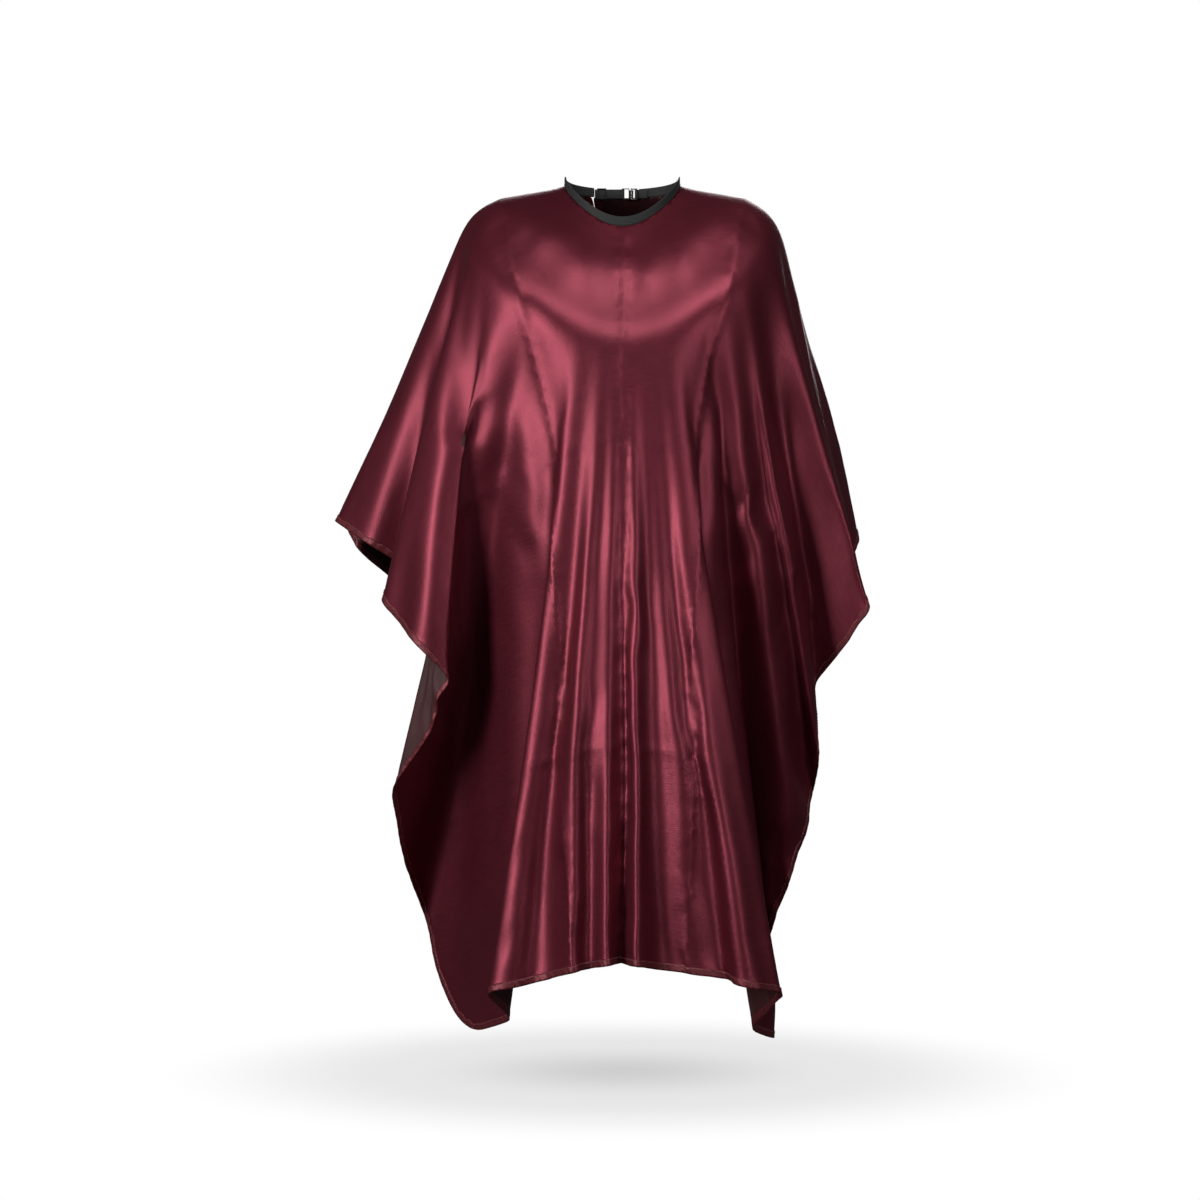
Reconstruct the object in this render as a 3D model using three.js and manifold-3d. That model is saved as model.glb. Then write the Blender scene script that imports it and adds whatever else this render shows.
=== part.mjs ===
// Barber cape: a satin sheet that hangs from a neckband, closed at the back of the neck.
// Millimetres. +Z is up, the front faces -Y, and the origin is on the neck's axis at the
// height of the neckband's top edge beside the neck.
import * as THREE from 'three';
import { mergeVertices } from 'three/addons/utils/BufferGeometryUtils.js';
import Module from 'manifold-3d';

const wasm = await Module();
wasm.setup();

// ---- Driving dimensions -------------------------------------------------------------

// The flat cut sheet
const CAPE_WIDTH = 1300;
const FRONT_LENGTH = 1020; // neck centre to front hem
const BACK_LENGTH = 480; // neck centre to back hem
const CORNER_RADIUS = 100;
const SLIT_X = -39; // the back slit lies off centre, in line with the band's left end
const SLIT_GAP = 5;
const SHEET_THICKNESS = 0.8;

// The neck opening
const NECK_HALF_WIDTH = 74;
const NECK_HALF_DEPTH = 61;
const NECK_FRONT_POWER = 2;
const NECK_BACK_POWER = 3;
const NECK_SIDE_DROP = 5;
const NECK_FRONT_DROP = 60;
const NECK_BACK_DROP = 8;
const NECK_FRONT_CURVE = 1.3;
const NECK_BACK_CURVE = 1.5;

// The neckband and the binding tape
const BAND_HEIGHT = 12;
const BAND_THICKNESS = 2;
const BINDING_WIDTH = 8;
const BINDING_THICKNESS = 1.4;

// The closure at the back of the neck
const STRAP_HEIGHT = 12;
const STRAP_THICKNESS = 1.2;
const STRAP_LENGTH = 36; // swing axis to the middle of the hook's bar
const STRAP_TO_BAND = 1.2; // swing axis to the band's end
const SLIDE_LENGTH = 12;
const SLIDE_FROM_AXIS = 8.5;
const METAL_THICKNESS = 1;
const BAR_SIZE = 1.6;
const HOOK_REACH = 11.7; // hook's bar to the eye's bar
const HOOK_HEIGHT = 10;
const EYE_LENGTH = 7; // between the middles of the eye's two bars
const TAB_HEIGHT = 11;
const TAB_THICKNESS = 1.1;
const TAB_LAP = 12;
const NECK_EDGE_DIP = 4; // the sheet's neck edge dips below the closure

// The woven label, sewn in at the left side edge
const LABEL_WIDTH = 16;
const LABEL_LENGTH = 45;
const LABEL_THICKNESS = 0.8;
const LABEL_ANGLE = -55; // degrees from the front, where it meets the side edge

// Clearances
const GAP = 0.3; // between pieces that touch
const SEAM_GAP = 1; // between the sheet and the tape along its curved edge
const LABEL_GAP = 0.5; // between the sheet and the label on it
const HOOK_CLEARANCE = 0.5;

// How the sheet leaves the neck and the shoulders
const SHOULDER_SLOPE = 13; // degrees below level, beside the neck
const CHEST_SLOPE = 55;
const BACK_SLOPE = 60;
const SHOULDER_RADIUS = 165; // sheet radius where it starts to turn down
const CHEST_RADIUS = 205;
const TURN_LENGTH = 80; // length of sheet over which it turns
const DRAPE_STEP = 12; // step along the sheet when its path is followed

// The folds, as [angle from the front in degrees, lean towards +X, way]. A lean is the
// sideways part of a unit step down the hanging sheet. The way is -1 where the sheet comes
// forward from the last fold and 1 where it goes back.
const CENTRE_LEAN = [0, -0.02]; // towards +X and +Y, at the middle of the front
const LEFT_FOLDS = [
  [-3.5, -0.02, -1],
  [-6.5, -0.035, 1],
  [-9, -0.05, -1],
  [-11.5, -0.07, 1],
  [-14, -0.09, 1],
  [-16, -0.115, -1],
  [-18, -0.15, 1],
  [-24, -0.07, 1],
  [-28, -0.1, 1],
  [-36.5, -0.16, 1],
  [-41.5, -0.205, -1],
  [-46.5, -0.24, -1],
  [-58.5, -0.06, -1],
  [-62.5, -0.125, -1],
  [-69, -0.22, 1],
  [-77, -0.15, 1],
  [-84, -0.27, -1],
  [-91, -0.39, 1],
  [-97, -0.4, 1],
  [-104, -0.345, -1],
  [-113, -0.265, 1],
  [-121, -0.21, -1],
  [-130, -0.195, 1],
  [-139, -0.205, -1],
  [-149, -0.18, 1],
  [-159, -0.15, -1],
  [-169, -0.09, 1],
  [-178, -0.05, -1],
];
const RIGHT_FOLDS = [
  [3.5, 0.01, -1],
  [7.5, 0.04, 1],
  [10, 0.075, -1],
  [12.5, 0.1, 1],
  [15.5, 0.125, -1],
  [19, 0.185, 1],
  [25, 0.095, 1],
  [30, 0.12, 1],
  [35, 0.07, 1],
  [41, 0.12, -1],
  [46, 0.165, 1],
  [50, 0.17, -1],
  [56, 0.145, 1],
  [61, 0.205, -1],
  [67, 0.275, -1],
  [76, 0.185, 1],
  [84, 0.25, 1],
  [94, 0.175, -1],
  [104, 0.23, 1],
  [115, 0.135, -1],
  [126, 0.2, 1],
  [136, 0.145, -1],
  [146, 0.19, 1],
  [156, 0.16, -1],
  [166, 0.115, 1],
  [176, 0.015, -1],
  [186, -0.02, 1],
  [196, 0.015, -1],
  [212, 0.115, 1],
];
const FOLD_ROUNDING = 3; // degrees to each side over which a fold is rounded
const FULLNESS = 1.1; // extra lean between folds, for the cloth's width over the shoulders

// Facets
const COLUMN_WIDTH = 3; // greatest angle in degrees between two columns of facets
const ROWS = 10;
const ROW_CROWDING = 1.3; // above 1, rows crowd towards the neck
const SLIT_FAN = 80; // degrees from the slit over which columns fan out
const BAND_SEGMENTS = 72;
const ARC_SEGMENTS = 12;

// ---- Small helpers ------------------------------------------------------------------

const radians = THREE.MathUtils.degToRad;
const lerp = THREE.MathUtils.lerp;

function smooth(t) {
  const s = THREE.MathUtils.clamp(t, 0, 1);
  return s * s * (3 - 2 * s);
}

// Angle of a flat point, from the front (-Y), positive towards +X.
function flatAngle(x, y) {
  return Math.atan2(x, -y);
}

// The same angle, running on past the back up to the slit on its right side.
function sheetAngle(x, y) {
  const angle = flatAngle(x, y);
  const pastBack = y > 0 && x > SLIT_X && angle < 0;
  return pastBack ? angle + 2 * Math.PI : angle;
}

function pointAt(angle, radius) {
  return [radius * Math.sin(angle), -radius * Math.cos(angle)];
}

// ---- The flat sheet -----------------------------------------------------------------

// Radius of the neck opening at an angle: rounder in front, flatter at the back.
function neckRadius(angle) {
  const power = Math.cos(angle) > 0 ? NECK_FRONT_POWER : NECK_BACK_POWER;
  const across = Math.abs(Math.sin(angle)) / NECK_HALF_WIDTH;
  const along = Math.abs(Math.cos(angle)) / NECK_HALF_DEPTH;
  return (across ** power + along ** power) ** (-1 / power);
}

// Y of the back half of the neck opening at a given X.
function neckBackY(x) {
  const share = 1 - Math.abs(x / NECK_HALF_WIDTH) ** NECK_BACK_POWER;
  return NECK_HALF_DEPTH * share ** (1 / NECK_BACK_POWER);
}

// Distance from the neck's centre to the cut edge, moved in by inset.
function edgeRadius(angle, inset) {
  const halfWidth = CAPE_WIDTH / 2 - inset;
  const length = (Math.cos(angle) > 0 ? FRONT_LENGTH : BACK_LENGTH) - inset;
  const corner = CORNER_RADIUS - inset;
  const sine = Math.abs(Math.sin(angle));
  const cosine = Math.abs(Math.cos(angle));
  const straight = Math.min(halfWidth / Math.max(sine, 1e-9), length / Math.max(cosine, 1e-9));
  const centreX = halfWidth - corner;
  const centreY = length - corner;
  const inCorner = straight * sine > centreX && straight * cosine > centreY;
  if (!inCorner) return straight;
  const along = centreX * sine + centreY * cosine;
  const offset = centreX ** 2 + centreY ** 2 - corner ** 2;
  return along + Math.sqrt(along ** 2 - offset);
}

// ---- The hanging sheet --------------------------------------------------------------

function neckHeight(angle) {
  const ahead = Math.max(0, Math.cos(angle));
  const behind = Math.max(0, -Math.cos(angle));
  const front = NECK_FRONT_DROP * ahead ** NECK_FRONT_CURVE;
  const back = NECK_BACK_DROP * behind ** NECK_BACK_CURVE;
  return -NECK_SIDE_DROP - front - back;
}

// Follows the folds out from the front. Cloth doesn't stretch, so the lean moves as the angle
// does, and the lean towards +Y follows from the lean towards +X.
function followFolds(folds) {
  let [angle, leanX, leanY] = [0, ...CENTRE_LEAN];
  return folds.map(([degrees, nextX, way]) => {
    const nextAngle = radians(degrees);
    const spare = (FULLNESS * (nextAngle - angle)) ** 2 - (nextX - leanX) ** 2;
    leanY += way * Math.sqrt(Math.max(spare, 0));
    [angle, leanX] = [nextAngle, nextX];
    return [angle, leanX, leanY];
  });
}

const FOLD_PATH = [
  ...followFolds(LEFT_FOLDS).reverse(),
  [0, ...CENTRE_LEAN],
  ...followFolds(RIGHT_FOLDS),
];

function leanAt(angle) {
  const found = FOLD_PATH.findIndex((fold) => fold[0] >= angle);
  const next = found < 0 ? FOLD_PATH.length - 1 : Math.max(1, found);
  const [startAngle, ...start] = FOLD_PATH[next - 1];
  const [endAngle, ...end] = FOLD_PATH[next];
  const share = THREE.MathUtils.clamp((angle - startAngle) / (endAngle - startAngle), 0, 1);
  return start.map((value, i) => lerp(value, end[i], share));
}

// Direction in which the sheet hangs: straight from fold to fold, and rounded at each.
function hangDirection(angle) {
  const rounding = radians(FOLD_ROUNDING);
  const samples = [-1, -0.5, 0, 0.5, 1].map((share) => leanAt(angle + share * rounding));
  const [x, y] = [0, 1].map((i) => samples.reduce((sum, lean) => sum + lean[i], 0) / samples.length);
  return new THREE.Vector3(x, y, -Math.sqrt(1 - x * x - y * y));
}

// Direction in which the sheet lies on the shoulders, chest and back.
function bodyDirection(angle) {
  const cosine = Math.cos(angle);
  const steep = cosine > 0 ? CHEST_SLOPE : BACK_SLOPE;
  const slope = radians(lerp(SHOULDER_SLOPE, steep, Math.abs(cosine) ** 1.5));
  const [x, y] = pointAt(angle, Math.cos(slope));
  return new THREE.Vector3(x, y, -Math.sin(slope));
}

const CLOSURE_X = SLIT_X + SLIT_GAP / 2; // the band's left end
const CLOSURE_MIDDLE = CLOSURE_X + (STRAP_LENGTH + HOOK_REACH) / 2;
const CLOSURE_HALF = (STRAP_LENGTH + HOOK_REACH) / 2 + EYE_LENGTH;

// The neck edge of the sheet, just under the band.
function neckEdge(angle) {
  const [x, y] = pointAt(angle, neckRadius(angle));
  const fromClosure = (Math.abs(x - CLOSURE_MIDDLE) - CLOSURE_HALF) / CLOSURE_HALF;
  const dip = y > 0 ? NECK_EDGE_DIP * (1 - smooth(fromClosure)) : 0;
  const z = neckHeight(angle) - BAND_HEIGHT / 2 - GAP - BINDING_THICKNESS / 2 - dip;
  return new THREE.Vector3(x, y, z);
}

// Place in space of a point of the flat sheet.
function drapedPoint([flatX, flatY]) {
  const angle = sheetAngle(flatX, flatY);
  const start = neckRadius(angle);
  const length = Math.hypot(flatX, flatY) - start;
  const turnStart = lerp(SHOULDER_RADIUS, CHEST_RADIUS, Math.abs(Math.cos(angle)));
  const lying = bodyDirection(angle);
  const hanging = hangDirection(angle);
  const steps = Math.max(1, Math.ceil(length / DRAPE_STEP));
  const place = neckEdge(angle);
  for (let i = 0; i < steps; i += 1) {
    const radius = start + (length * (i + 0.5)) / steps;
    const share = smooth((radius - turnStart) / TURN_LENGTH);
    const direction = lying.clone().lerp(hanging, share).normalize();
    place.addScaledVector(direction, length / steps);
  }
  return place;
}

// Outward normal of the hanging sheet, from its slopes along and across.
function drapedNormal([x, y]) {
  const probe = 2;
  const radius = Math.hypot(x, y);
  const outX = (x / radius) * probe;
  const outY = (y / radius) * probe;
  const along = drapedPoint([x + outX, y + outY]).sub(drapedPoint([x, y]));
  const across = drapedPoint([x - outY, y + outX]).sub(drapedPoint([x + outY, y - outX]));
  return along.cross(across).normalize();
}

// ---- Solids from grids --------------------------------------------------------------

// A closed solid between two grids of points: inner[row][column] and outer[row][column].
function slab(outer, inner) {
  const rows = outer.length;
  const columns = outer[0].length;
  const positions = [...outer.flat(), ...inner.flat()].flatMap((p) => [p.x, p.y, p.z]);
  const top = (r, c) => r * columns + c;
  const bottom = (r, c) => rows * columns + top(r, c);
  const faces = [];
  const quad = (a, b, c, d) => faces.push(a, b, c, a, c, d);
  for (let r = 0; r + 1 < rows; r += 1) {
    for (let c = 0; c + 1 < columns; c += 1) {
      quad(top(r, c), top(r + 1, c), top(r + 1, c + 1), top(r, c + 1));
      quad(bottom(r, c), bottom(r, c + 1), bottom(r + 1, c + 1), bottom(r + 1, c));
    }
    quad(top(r, 0), bottom(r, 0), bottom(r + 1, 0), top(r + 1, 0));
    const last = columns - 1;
    quad(top(r, last), top(r + 1, last), bottom(r + 1, last), bottom(r, last));
  }
  for (let c = 0; c + 1 < columns; c += 1) {
    quad(top(0, c), top(0, c + 1), bottom(0, c + 1), bottom(0, c));
    const end = rows - 1;
    quad(top(end, c), bottom(end, c), bottom(end, c + 1), top(end, c + 1));
  }
  const geometry = new THREE.BufferGeometry();
  geometry.setAttribute('position', new THREE.Float32BufferAttribute(positions, 3));
  geometry.setIndex(faces);
  return geometry;
}

// A slab that follows the hanging sheet: flat[row][column] are points of the flat sheet,
// and the slab runs from low to high along the outward normal.
function drapedSlab(flat, low, high) {
  const raise = (distance) =>
    flat.map((row) =>
      row.map((point) => drapedPoint(point).addScaledVector(drapedNormal(point), distance)),
    );
  return slab(raise(high), raise(low));
}

function toManifold(geometry) {
  const bare = geometry.clone();
  bare.deleteAttribute('normal');
  bare.deleteAttribute('uv');
  const merged = mergeVertices(bare, 1e-4);
  return new wasm.Manifold(
    new wasm.Mesh({
      numProp: 3,
      vertProperties: new Float32Array(merged.attributes.position.array),
      triVerts: new Uint32Array(merged.index.array),
    }),
  );
}

function fromManifold(solid) {
  const mesh = solid.getMesh();
  const geometry = new THREE.BufferGeometry();
  geometry.setAttribute('position', new THREE.BufferAttribute(mesh.vertProperties, 3));
  geometry.setIndex(new THREE.BufferAttribute(mesh.triVerts, 1));
  return geometry;
}

function joined(geometries) {
  const solids = geometries.map(toManifold);
  return fromManifold(solids.slice(1).reduce((sum, solid) => sum.add(solid), solids[0]));
}

// A box given by its lowest and highest corners.
function box(low, high) {
  const geometry = new THREE.BoxGeometry(high[0] - low[0], high[1] - low[1], high[2] - low[2]);
  const middle = low.map((value, i) => (value + high[i]) / 2);
  return geometry.translate(...middle);
}

// A plan outline (X, Y) raised to a height that is centred on z = 0.
function raised(shape, height) {
  const geometry = new THREE.ExtrudeGeometry(shape, {
    depth: height,
    bevelEnabled: false,
    curveSegments: ARC_SEGMENTS,
  });
  return geometry.translate(0, 0, -height / 2);
}

// ---- The sheet, its binding and its label -------------------------------------------

// The two ends of a column of facets on one side of the slit, moved in by inset.
function slitColumn(side, inset) {
  const x = SLIT_X + side * (SLIT_GAP / 2 + inset);
  return { start: [x, neckBackY(x)], end: [x, BACK_LENGTH - inset] };
}

// Angles of the columns, from the slit's left side round the front to its right side: one at
// each fold, and more where two folds lie far apart.
function columnAngles() {
  const first = flatAngle(...slitColumn(-1, 0).end);
  const last = flatAngle(...slitColumn(1, 0).end) + 2 * Math.PI;
  const widest = radians(COLUMN_WIDTH);
  const folds = FOLD_PATH.map(([angle]) => angle);
  const marks = [first, ...folds.filter((a) => a > first + widest && a < last - widest), last];
  const between = marks.slice(1).flatMap((mark, i) => {
    const count = Math.ceil((mark - marks[i]) / widest);
    return Array.from({ length: count }, (_, k) => lerp(marks[i], mark, (k + 1) / count));
  });
  return [first, ...between];
}

const COLUMN_ANGLES = columnAngles();
const LAST_COLUMN = COLUMN_ANGLES.length - 1;

// The ends of a column of facets. Columns fan out beside the slit, so that the outermost two
// are parallel to it.
function columnEnds(index, inset) {
  const left = slitColumn(-1, inset);
  const right = slitColumn(1, inset);
  if (index === 0) return left;
  if (index === LAST_COLUMN) return right;
  const turn = 2 * Math.PI;
  const first = flatAngle(...left.end);
  const last = flatAngle(...right.end) + turn;
  const angle = COLUMN_ANGLES[index];
  const leftFan = flatAngle(...left.start) - first;
  const rightFan = flatAngle(...right.start) + turn - last;
  const fan = radians(SLIT_FAN);
  const nearLeft = 1 - smooth((angle - first) / fan);
  const nearRight = 1 - smooth((last - angle) / fan);
  const neckAngle = angle + leftFan * nearLeft + rightFan * nearRight;
  return {
    start: pointAt(neckAngle, neckRadius(neckAngle)),
    end: pointAt(angle, edgeRadius(angle, inset)),
  };
}

function columnPoint(index, share, inset) {
  const { start, end } = columnEnds(index, inset);
  return [lerp(start[0], end[0], share), lerp(start[1], end[1], share)];
}

const rowShares = Array.from({ length: ROWS + 1 }, (_, row) => (row / ROWS) ** ROW_CROWDING);
const columnIndexes = COLUMN_ANGLES.map((_, index) => index);

function capePanel() {
  const inset = BINDING_WIDTH + SEAM_GAP;
  const flat = rowShares.map((share) => columnIndexes.map((i) => columnPoint(i, share, inset)));
  return drapedSlab(flat, -SHEET_THICKNESS / 2, SHEET_THICKNESS / 2);
}

// The binding runs down the slit's left edge, round the hem and up the right edge.
function edgeBinding() {
  const track = (inset) => [
    ...rowShares.slice(0, -1).map((share) => columnPoint(0, share, inset)),
    ...columnIndexes.map((i) => columnPoint(i, 1, inset)),
    ...rowShares.slice(0, -1).reverse().map((share) => columnPoint(LAST_COLUMN, share, inset)),
  ];
  const half = BINDING_THICKNESS / 2;
  return drapedSlab([track(BINDING_WIDTH), track(0)], -half, half);
}

function wovenLabel() {
  const inset = BINDING_WIDTH + GAP;
  const angle = radians(LABEL_ANGLE);
  const end = pointAt(angle, edgeRadius(angle, inset));
  const radius = Math.hypot(...end);
  const along = end.map((value) => value / radius);
  const across = [-along[1], along[0]];
  const steps = [0, 0.25, 0.5, 0.75, 1];
  const flat = steps.map((down) =>
    steps.map((side) => {
      const back = (1 - down) * LABEL_LENGTH + LABEL_WIDTH / 2;
      const offset = (side - 0.5) * LABEL_WIDTH;
      return end.map((value, i) => value - along[i] * back + across[i] * offset);
    }),
  );
  const low = SHEET_THICKNESS / 2 + LABEL_GAP;
  return drapedSlab(flat, low, low + LABEL_THICKNESS);
}

// ---- The neckband -------------------------------------------------------------------

const AXIS_X = CLOSURE_X + STRAP_TO_BAND;
const CLOSURE_Y = neckBackY(CLOSURE_X);
const CLOSURE_Z = neckHeight(Math.PI);
const HOOK_BAR_X = AXIS_X + STRAP_LENGTH;
const EYE_BAR_X = HOOK_BAR_X + HOOK_REACH;
const TAB_BAR_X = EYE_BAR_X + EYE_LENGTH;
const TAB_INNER = (BAR_SIZE / 2) * Math.SQRT2 + GAP;
const TAB_OUTER = TAB_INNER + TAB_THICKNESS;
const BAND_RIGHT_X = TAB_BAR_X + TAB_OUTER + GAP;

// A point of the neck's curve, moved outwards in plan by a distance.
function neckOffset(angle, distance) {
  const probe = 1e-3;
  const before = pointAt(angle - probe, neckRadius(angle - probe));
  const after = pointAt(angle + probe, neckRadius(angle + probe));
  const tangent = new THREE.Vector2(after[0] - before[0], after[1] - before[1]).normalize();
  const [x, y] = pointAt(angle, neckRadius(angle));
  return new THREE.Vector3(x + tangent.y * distance, y - tangent.x * distance, neckHeight(angle));
}

function neckband() {
  const first = flatAngle(CLOSURE_X, neckBackY(CLOSURE_X));
  const last = flatAngle(BAND_RIGHT_X, neckBackY(BAND_RIGHT_X));
  const angles = Array.from({ length: BAND_SEGMENTS + 1 }, (_, i) =>
    lerp(first, last, i / BAND_SEGMENTS),
  );
  const face = (distance) =>
    [BAND_HEIGHT / 2, -BAND_HEIGHT / 2].map((rise) =>
      angles.map((angle) => {
        const point = neckOffset(angle, distance);
        return point.setZ(point.z + rise);
      }),
    );
  return slab(face(BAND_THICKNESS / 2), face(-BAND_THICKNESS / 2));
}

// ---- The closure, in a frame whose origin is on the swing axis ----------------------

function neckStrap() {
  const half = STRAP_THICKNESS / 2;
  const inner = (BAR_SIZE / 2) * Math.SQRT2 + GAP;
  const outer = inner + STRAP_THICKNESS;
  const web = new THREE.Shape();
  web.absarc(0, 0, half, Math.PI / 2, (3 * Math.PI) / 2, false);
  web.lineTo(STRAP_LENGTH - inner - half, -half);
  web.lineTo(STRAP_LENGTH - inner - half, half);
  web.closePath();
  const loop = new THREE.Shape();
  loop.absarc(STRAP_LENGTH, 0, outer, 0, 2 * Math.PI, false);
  const hole = new THREE.Path();
  hole.absarc(STRAP_LENGTH, 0, inner, 0, 2 * Math.PI, true);
  loop.holes.push(hole);
  return joined([raised(web, STRAP_HEIGHT), raised(loop, STRAP_HEIGHT)]);
}

// Three bars between two rails: the outer bars pass inside the strap, the middle one outside.
function slideAdjuster() {
  const halfLength = SLIDE_LENGTH / 2;
  const near = STRAP_THICKNESS / 2 + GAP;
  const far = near + METAL_THICKNESS;
  const railLow = STRAP_HEIGHT / 2 + GAP;
  const railHigh = railLow + METAL_THICKNESS;
  const rail = (low, high) => box([-halfLength, -far, low], [halfLength, far, high]);
  const bar = (x, low, high) =>
    box([x - BAR_SIZE / 2, low, -railHigh], [x + BAR_SIZE / 2, high, railHigh]);
  const endBar = halfLength - BAR_SIZE / 2;
  return joined([
    rail(railLow, railHigh),
    rail(-railHigh, -railLow),
    bar(-endBar, -far, -near),
    bar(endBar, -far, -near),
    bar(0, near, far),
  ]).translate(SLIDE_FROM_AXIS, 0, 0);
}

// A wire frame through the strap's loop, and a hook that opens inwards (-Y).
function hook() {
  const half = BAR_SIZE / 2;
  const plate = METAL_THICKNESS / 2;
  const frameLow = STRAP_HEIGHT / 2 + GAP;
  const frameHigh = frameLow + METAL_THICKNESS;
  const inner = (BAR_SIZE / 2) * Math.SQRT2 + HOOK_CLEARANCE;
  const outer = inner + METAL_THICKNESS;
  const barX = STRAP_LENGTH;
  const eyeX = STRAP_LENGTH + HOOK_REACH;
  const crossX = eyeX - outer - METAL_THICKNESS;
  const bill = new THREE.Shape();
  bill.moveTo(eyeX - outer, -plate);
  bill.lineTo(eyeX - inner, -plate);
  bill.lineTo(eyeX - inner, 0);
  bill.absarc(eyeX, 0, inner, Math.PI, 0, true);
  bill.lineTo(eyeX + inner, -inner);
  bill.lineTo(eyeX + outer, -inner);
  bill.lineTo(eyeX + outer, 0);
  bill.absarc(eyeX, 0, outer, 0, Math.PI, false);
  bill.closePath();
  const arm = (low, high) => box([barX - half, -plate, low], [crossX + METAL_THICKNESS, plate, high]);
  return joined([
    box([barX - half, -half, -frameHigh], [barX + half, half, frameHigh]),
    arm(frameLow, frameHigh),
    arm(-frameHigh, -frameLow),
    box([crossX, -plate, -frameHigh], [crossX + METAL_THICKNESS, plate, frameHigh]),
    box([crossX, -plate, -HOOK_HEIGHT / 2], [eyeX - inner, plate, HOOK_HEIGHT / 2]),
    raised(bill, HOOK_HEIGHT),
  ]);
}

// ---- The eye and its tab ------------------------------------------------------------

// A flat rectangular ring, upright, in a frame whose origin is on the hook's side bar.
function eyeRing() {
  const half = BAR_SIZE / 2;
  const inside = Math.max(TAB_HEIGHT, HOOK_HEIGHT) / 2 + GAP;
  const outline = new THREE.Shape();
  outline.moveTo(-half, -inside - BAR_SIZE);
  outline.lineTo(EYE_LENGTH + half, -inside - BAR_SIZE);
  outline.lineTo(EYE_LENGTH + half, inside + BAR_SIZE);
  outline.lineTo(-half, inside + BAR_SIZE);
  outline.closePath();
  const hole = new THREE.Path();
  hole.moveTo(half, -inside);
  hole.lineTo(half, inside);
  hole.lineTo(EYE_LENGTH - half, inside);
  hole.lineTo(EYE_LENGTH - half, -inside);
  hole.closePath();
  outline.holes.push(hole);
  const ring = new THREE.ExtrudeGeometry(outline, { depth: BAR_SIZE, bevelEnabled: false });
  return ring.translate(0, 0, -half).rotateX(Math.PI / 2);
}

// A tape loop round the eye's far bar, lapped onto the inner face of the band's end.
function eyeTab() {
  const loop = new THREE.Shape();
  loop.absarc(TAB_BAR_X, CLOSURE_Y, TAB_OUTER, 0, 2 * Math.PI, false);
  const hole = new THREE.Path();
  hole.absarc(TAB_BAR_X, CLOSURE_Y, TAB_INNER, 0, 2 * Math.PI, true);
  loop.holes.push(hole);
  const near = -BAND_THICKNESS / 2 - GAP;
  const stations = [0, 0.25, 0.5, 0.75, 1].map((share) => {
    const x = BAND_RIGHT_X + share * TAB_LAP;
    return flatAngle(x, neckBackY(x));
  });
  const lapStart = [TAB_BAR_X + TAB_INNER + TAB_THICKNESS / 2, CLOSURE_Y];
  const outerSide = stations.map((angle) => neckOffset(angle, near));
  const innerSide = stations.map((angle) => neckOffset(angle, near - TAB_THICKNESS)).reverse();
  const lap = new THREE.Shape();
  lap.moveTo(lapStart[0], lapStart[1] + TAB_THICKNESS / 2);
  outerSide.forEach((point) => lap.lineTo(point.x, point.y));
  innerSide.forEach((point) => lap.lineTo(point.x, point.y));
  lap.lineTo(lapStart[0], lapStart[1] - TAB_THICKNESS / 2);
  lap.closePath();
  return joined([raised(loop, TAB_HEIGHT), raised(lap, TAB_HEIGHT)]);
}

// ---- The assembly -------------------------------------------------------------------

const finish = (color, roughness, metalness) => ({ color, roughness, metalness });
const SATIN = finish(0x6a2233, 0.42, 0);
const TAPE = finish(0x5e1a26, 0.55, 0);
const ELASTIC = finish(0x232525, 0.85, 0);
const WEBBING = finish(0x141414, 0.8, 0);
const DARK_METAL = finish(0x2b2a2a, 0.35, 0.9);
const BRIGHT_METAL = finish(0x9a948c, 0.3, 1);
const WOVEN = finish(0x161617, 0.75, 0);

function piece(name, geometry, look) {
  const mesh = new THREE.Mesh(geometry, new THREE.MeshStandardMaterial(look));
  mesh.name = name;
  return mesh;
}

const cape = new THREE.Group();
cape.add(piece('cape_panel', capePanel(), SATIN));
cape.add(piece('edge_binding', edgeBinding(), TAPE));
cape.add(piece('woven_label', wovenLabel(), WOVEN));
cape.add(piece('neckband', neckband(), ELASTIC));

const closure = new THREE.Group();
closure.position.set(AXIS_X, CLOSURE_Y, CLOSURE_Z);
closure.add(piece('neck_strap', neckStrap(), WEBBING));
closure.add(piece('slide_adjuster', slideAdjuster(), DARK_METAL));
closure.add(piece('hook', hook(), DARK_METAL));
cape.add(closure);

const eye = piece('eye_ring', eyeRing(), BRIGHT_METAL);
eye.position.set(EYE_BAR_X, CLOSURE_Y, CLOSURE_Z);
cape.add(eye);

const tab = piece('eye_tab', eyeTab(), WEBBING);
tab.position.set(0, 0, CLOSURE_Z);
cape.add(tab);

export default cape;
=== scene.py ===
"""Barber cape: a satin sheet draped from an elastic neckband, with its bound edge,
its stitching and its hook closure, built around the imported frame. Metres throughout."""

import math

import bpy
import numpy as np
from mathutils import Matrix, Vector, geometry
from mathutils.bvhtree import BVHTree


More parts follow.
